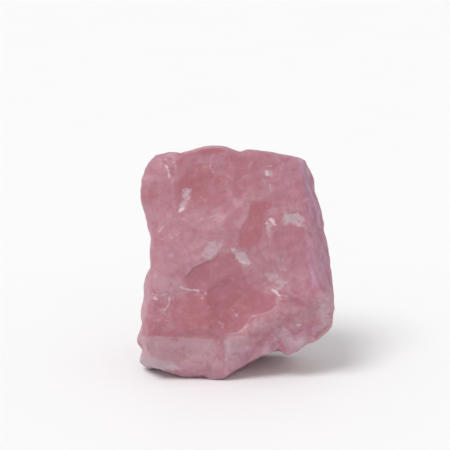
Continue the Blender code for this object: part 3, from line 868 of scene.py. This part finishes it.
def quartz_colour(g, here, grain):
    """Clouds, zones, streaks, tones of facets, mottling, worn edges and veils, with painted light and shade:
    highlights on lump tops and ridges, shade between lumps and in creases.
    """
    cloud = g.noise(here, CLOUD_SIZE, 3.0, distortion=0.4)
    colour = g.mix(g.step(cloud, 0.35, 0.65), ROSE, WARM_ROSE)
    colour = g.mix(g.broken("pale", grain, 0.0, 1.0), colour, PALE_ROSE)
    colour = g.mix(g.broken("lilac", grain, 0.0, 1.0, 0.95), colour, LILAC)
    colour = g.mix(g.broken("deep", grain, 0.0, 0.92), colour, DEEP_ROSE)
    colour = streaked(g, here, colour)
    for name, start, full, strength, tint in TINTS:
        colour = g.mix(g.step(g.field(name), start, full, 0.0, strength), colour, tint)
    colour = g.mix(g.step(grain, 0.45, 0.75, 0.0, 0.25), colour, PALE_ROSE)

    mottle = g.noise(here, MOTTLE_SIZE, 3.0, 0.6, 0.3)
    mottling = g.facing(0.5, 1.0)
    milky = g.math("MULTIPLY", g.step(mottle, 0.50, 0.68), g.step(g.field("deep"), 0.1, 0.8, 0.58, 0.20))
    colour = g.mix(g.math("MULTIPLY", milky, mottling), colour, PALE_ROSE)
    dark = g.step(mottle, 0.50, 0.32, 0.0, 0.52)
    colour = g.mix(g.math("MULTIPLY", dark, mottling), colour, DEEP_ROSE)

    # Ridges are lighter in the frost colour: partly frosted wear, partly painted highlights.
    worn_and_highlit = g.math("MULTIPLY", g.step(g.field("edge"), 0.25, 1.3), g.facing(0.75, 0.35))
    colour = g.mix(worn_and_highlit, colour, FROST)
    # Painted shade: creases are darker, in the deep rose colour.
    colour = g.mix(g.step(g.field("edge"), -0.2, -1.3, 0.0, 0.35), colour, DEEP_ROSE)

    # Milky veils inside the stone, as soft bands that come and go.
    band = g.math("ABSOLUTE", g.math("SUBTRACT", g.noise(here, VEIL_SPACING, 2.0, 0.45, 0.5), 0.5))
    there = g.step(g.noise(here, VEIL_GAPS), 0.42, 0.65, 0.0, 0.5)
    veil = g.math("MULTIPLY", g.step(band, 0.05, 0.0), there)
    return g.mix(g.math("MULTIPLY", veil, g.facing(0.35, 0.15)), colour, VEIL)


def quartz_bump(g, here, grain):
    """Micro-facets, as cells of a warped pattern that are each tilted their own way, and grain."""
    middle = (0.5, 0.5, 0.5)
    warp = g.add("ShaderNodeTexNoise", {
        "Vector": here, "Scale": 1.0 / (CELL_WARP_SIZE * MM), "Detail": 2.0})
    swing = g.vector("SUBTRACT", warp.outputs["Color"], middle)
    warped = g.vector("MULTIPLY_ADD", swing, (CELL_WARP * MM,) * 3, here)
    relief = 0.0
    for size, slope in ((CELL_SIZE, g.facing(*CELL_SLOPES)), (SMALL_CELL_SIZE, SMALL_CELL_SLOPE)):
        cells = g.add("ShaderNodeTexVoronoi", {"Vector": warped, "Scale": 1.0 / (size * MM)}, feature="F1")
        away = g.vector("SUBTRACT", warped, cells.outputs["Position"])
        lean = g.vector("SUBTRACT", cells.outputs["Color"], middle)
        relief = g.math("MULTIPLY_ADD", g.dot(away, lean), slope, relief)
    fine = g.noise(here, FINE_GRAIN_SIZE, 3.0, 0.6)
    relief = g.math("MULTIPLY_ADD", fine, FINE_GRAIN_DEPTH * MM, relief)
    relief = g.math("MULTIPLY_ADD", grain, COLOUR_GRAIN_DEPTH * MM, relief)
    bump = g.add("ShaderNodeBump", {"Height": relief, "Strength": 1.0, "Distance": 1.0})
    return bump.outputs["Normal"]


def quartz_material():
    """Milky rose quartz: clouded colour, frosted flake scars, waxy broken surface, with painted highlights
    and painted shade.
    """
    material = bpy.data.materials.new("rose_quartz")
    g = Graph(material)
    here = g.add("ShaderNodeTexCoord").outputs["Object"]
    grain = g.noise(here, COLOUR_GRAIN_SIZE, 4.0, 0.65)
    frost = g.broken("frost", grain, 0.10, 1.05, 0.95, 2.4, 0.45)
    glint = g.broken("glint", grain, 0.05, 1.0, 0.9, 1.6, 0.35)
    colour = g.mix(frost, quartz_colour(g, here, grain), FROST)
    # Glints are painted highlights.
    colour = g.mix(glint, colour, GLINT)
    shader = g.add("ShaderNodeBsdfPrincipled", {
        "Base Color": colour,
        "Roughness": g.math("MULTIPLY_ADD", frost, FROST_ROUGHNESS, g.step(grain, 0.3, 0.7, *ROUGHNESS)),
        "Normal": quartz_bump(g, here, grain),
        "IOR": QUARTZ_IOR,
        "Specular IOR Level": 0.5,
        "Subsurface Weight": g.math("MULTIPLY_ADD", frost, FROST_SUBSURFACE, SUBSURFACE),
        "Subsurface Radius": SUBSURFACE_RADIUS,
        "Subsurface Scale": SUBSURFACE_REACH * MM})
    g.add("ShaderNodeOutputMaterial", {"Surface": shader.outputs["BSDF"]})
    return material


def floor_material():
    material = bpy.data.materials.new("pale_floor")
    g = Graph(material)
    here = g.add("ShaderNodeTexCoord").outputs["Object"]
    shade = g.mix(g.noise(here, FLOOR_CLOUD_SIZE), *FLOOR_COLOURS)
    shader = g.add("ShaderNodeBsdfPrincipled", {"Base Color": shade, "Roughness": FLOOR_ROUGHNESS})
    g.add("ShaderNodeOutputMaterial", {"Surface": shader.outputs["BSDF"]})
    return material


def add_floor():
    """A wide pale disc under the stone, just below its foot."""
    turns = [math.tau * side / FLOOR_SIDES for side in range(FLOOR_SIDES)]
    rim = [(FLOOR_RADIUS * math.cos(turn), FLOOR_RADIUS * math.sin(turn), 0.0) for turn in turns]
    mesh = bpy.data.meshes.new("floor")
    mesh.from_pydata(rim, [], [tuple(range(FLOOR_SIDES))])
    mesh.materials.append(floor_material())
    floor = bpy.data.objects.new("floor", mesh)
    floor.location.z = -FLOOR_GAP * MM
    bpy.context.scene.collection.objects.link(floor)


def add_lights():
    """A bright room with one broad soft light from the upper left."""
    scene = bpy.context.scene
    scene.world = bpy.data.worlds.new("studio")
    g = Graph(scene.world)
    ways = g.add("ShaderNodeSeparateXYZ", {"Vector": g.add("ShaderNodeTexCoord").outputs["Generated"]})
    strength = g.step(ways.outputs["Z"], 0.0, ROOM_FOOT_RISE, ROOM_FOOT_LIGHT, ROOM_LIGHT)
    room = g.add("ShaderNodeBackground", {"Color": (1.0, 1.0, 1.0, 1.0), "Strength": strength})
    g.add("ShaderNodeOutputWorld", {"Surface": room.outputs["Background"]})
    light = bpy.data.lights.new("key", "SUN")
    light.energy = KEY_LIGHT
    light.angle = KEY_SOFTNESS
    lamp = bpy.data.objects.new("key", light)
    lamp.rotation_euler = Vector(KEY_FROM).to_track_quat("Z", "Y").to_euler()
    scene.collection.objects.link(lamp)


def add_camera():
    """A camera at VIEWPOINT that looks straight at the front face."""
    camera = bpy.data.cameras.new("camera")
    camera.lens = LENS
    camera.sensor_width = SENSOR
    camera.clip_start = CLIP_START
    holder = bpy.data.objects.new("camera", camera)
    holder.location = to_world(VIEWPOINT)
    ahead = to_world((VIEWPOINT[0], VIEWPOINT[1], 0.0)) - to_world(VIEWPOINT)
    holder.rotation_euler = Vector(ahead).to_track_quat("-Z", "Y").to_euler()
    bpy.context.scene.collection.objects.link(holder)
    bpy.context.scene.camera = holder


stone = quartz_surface(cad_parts["quartz_chunk"])
stone.data.materials.clear()
stone.data.materials.append(quartz_material())
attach(stone, "root")
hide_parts("quartz_chunk")

add_floor()
add_lights()
add_camera()
bpy.context.scene.view_settings.view_transform = "Standard"
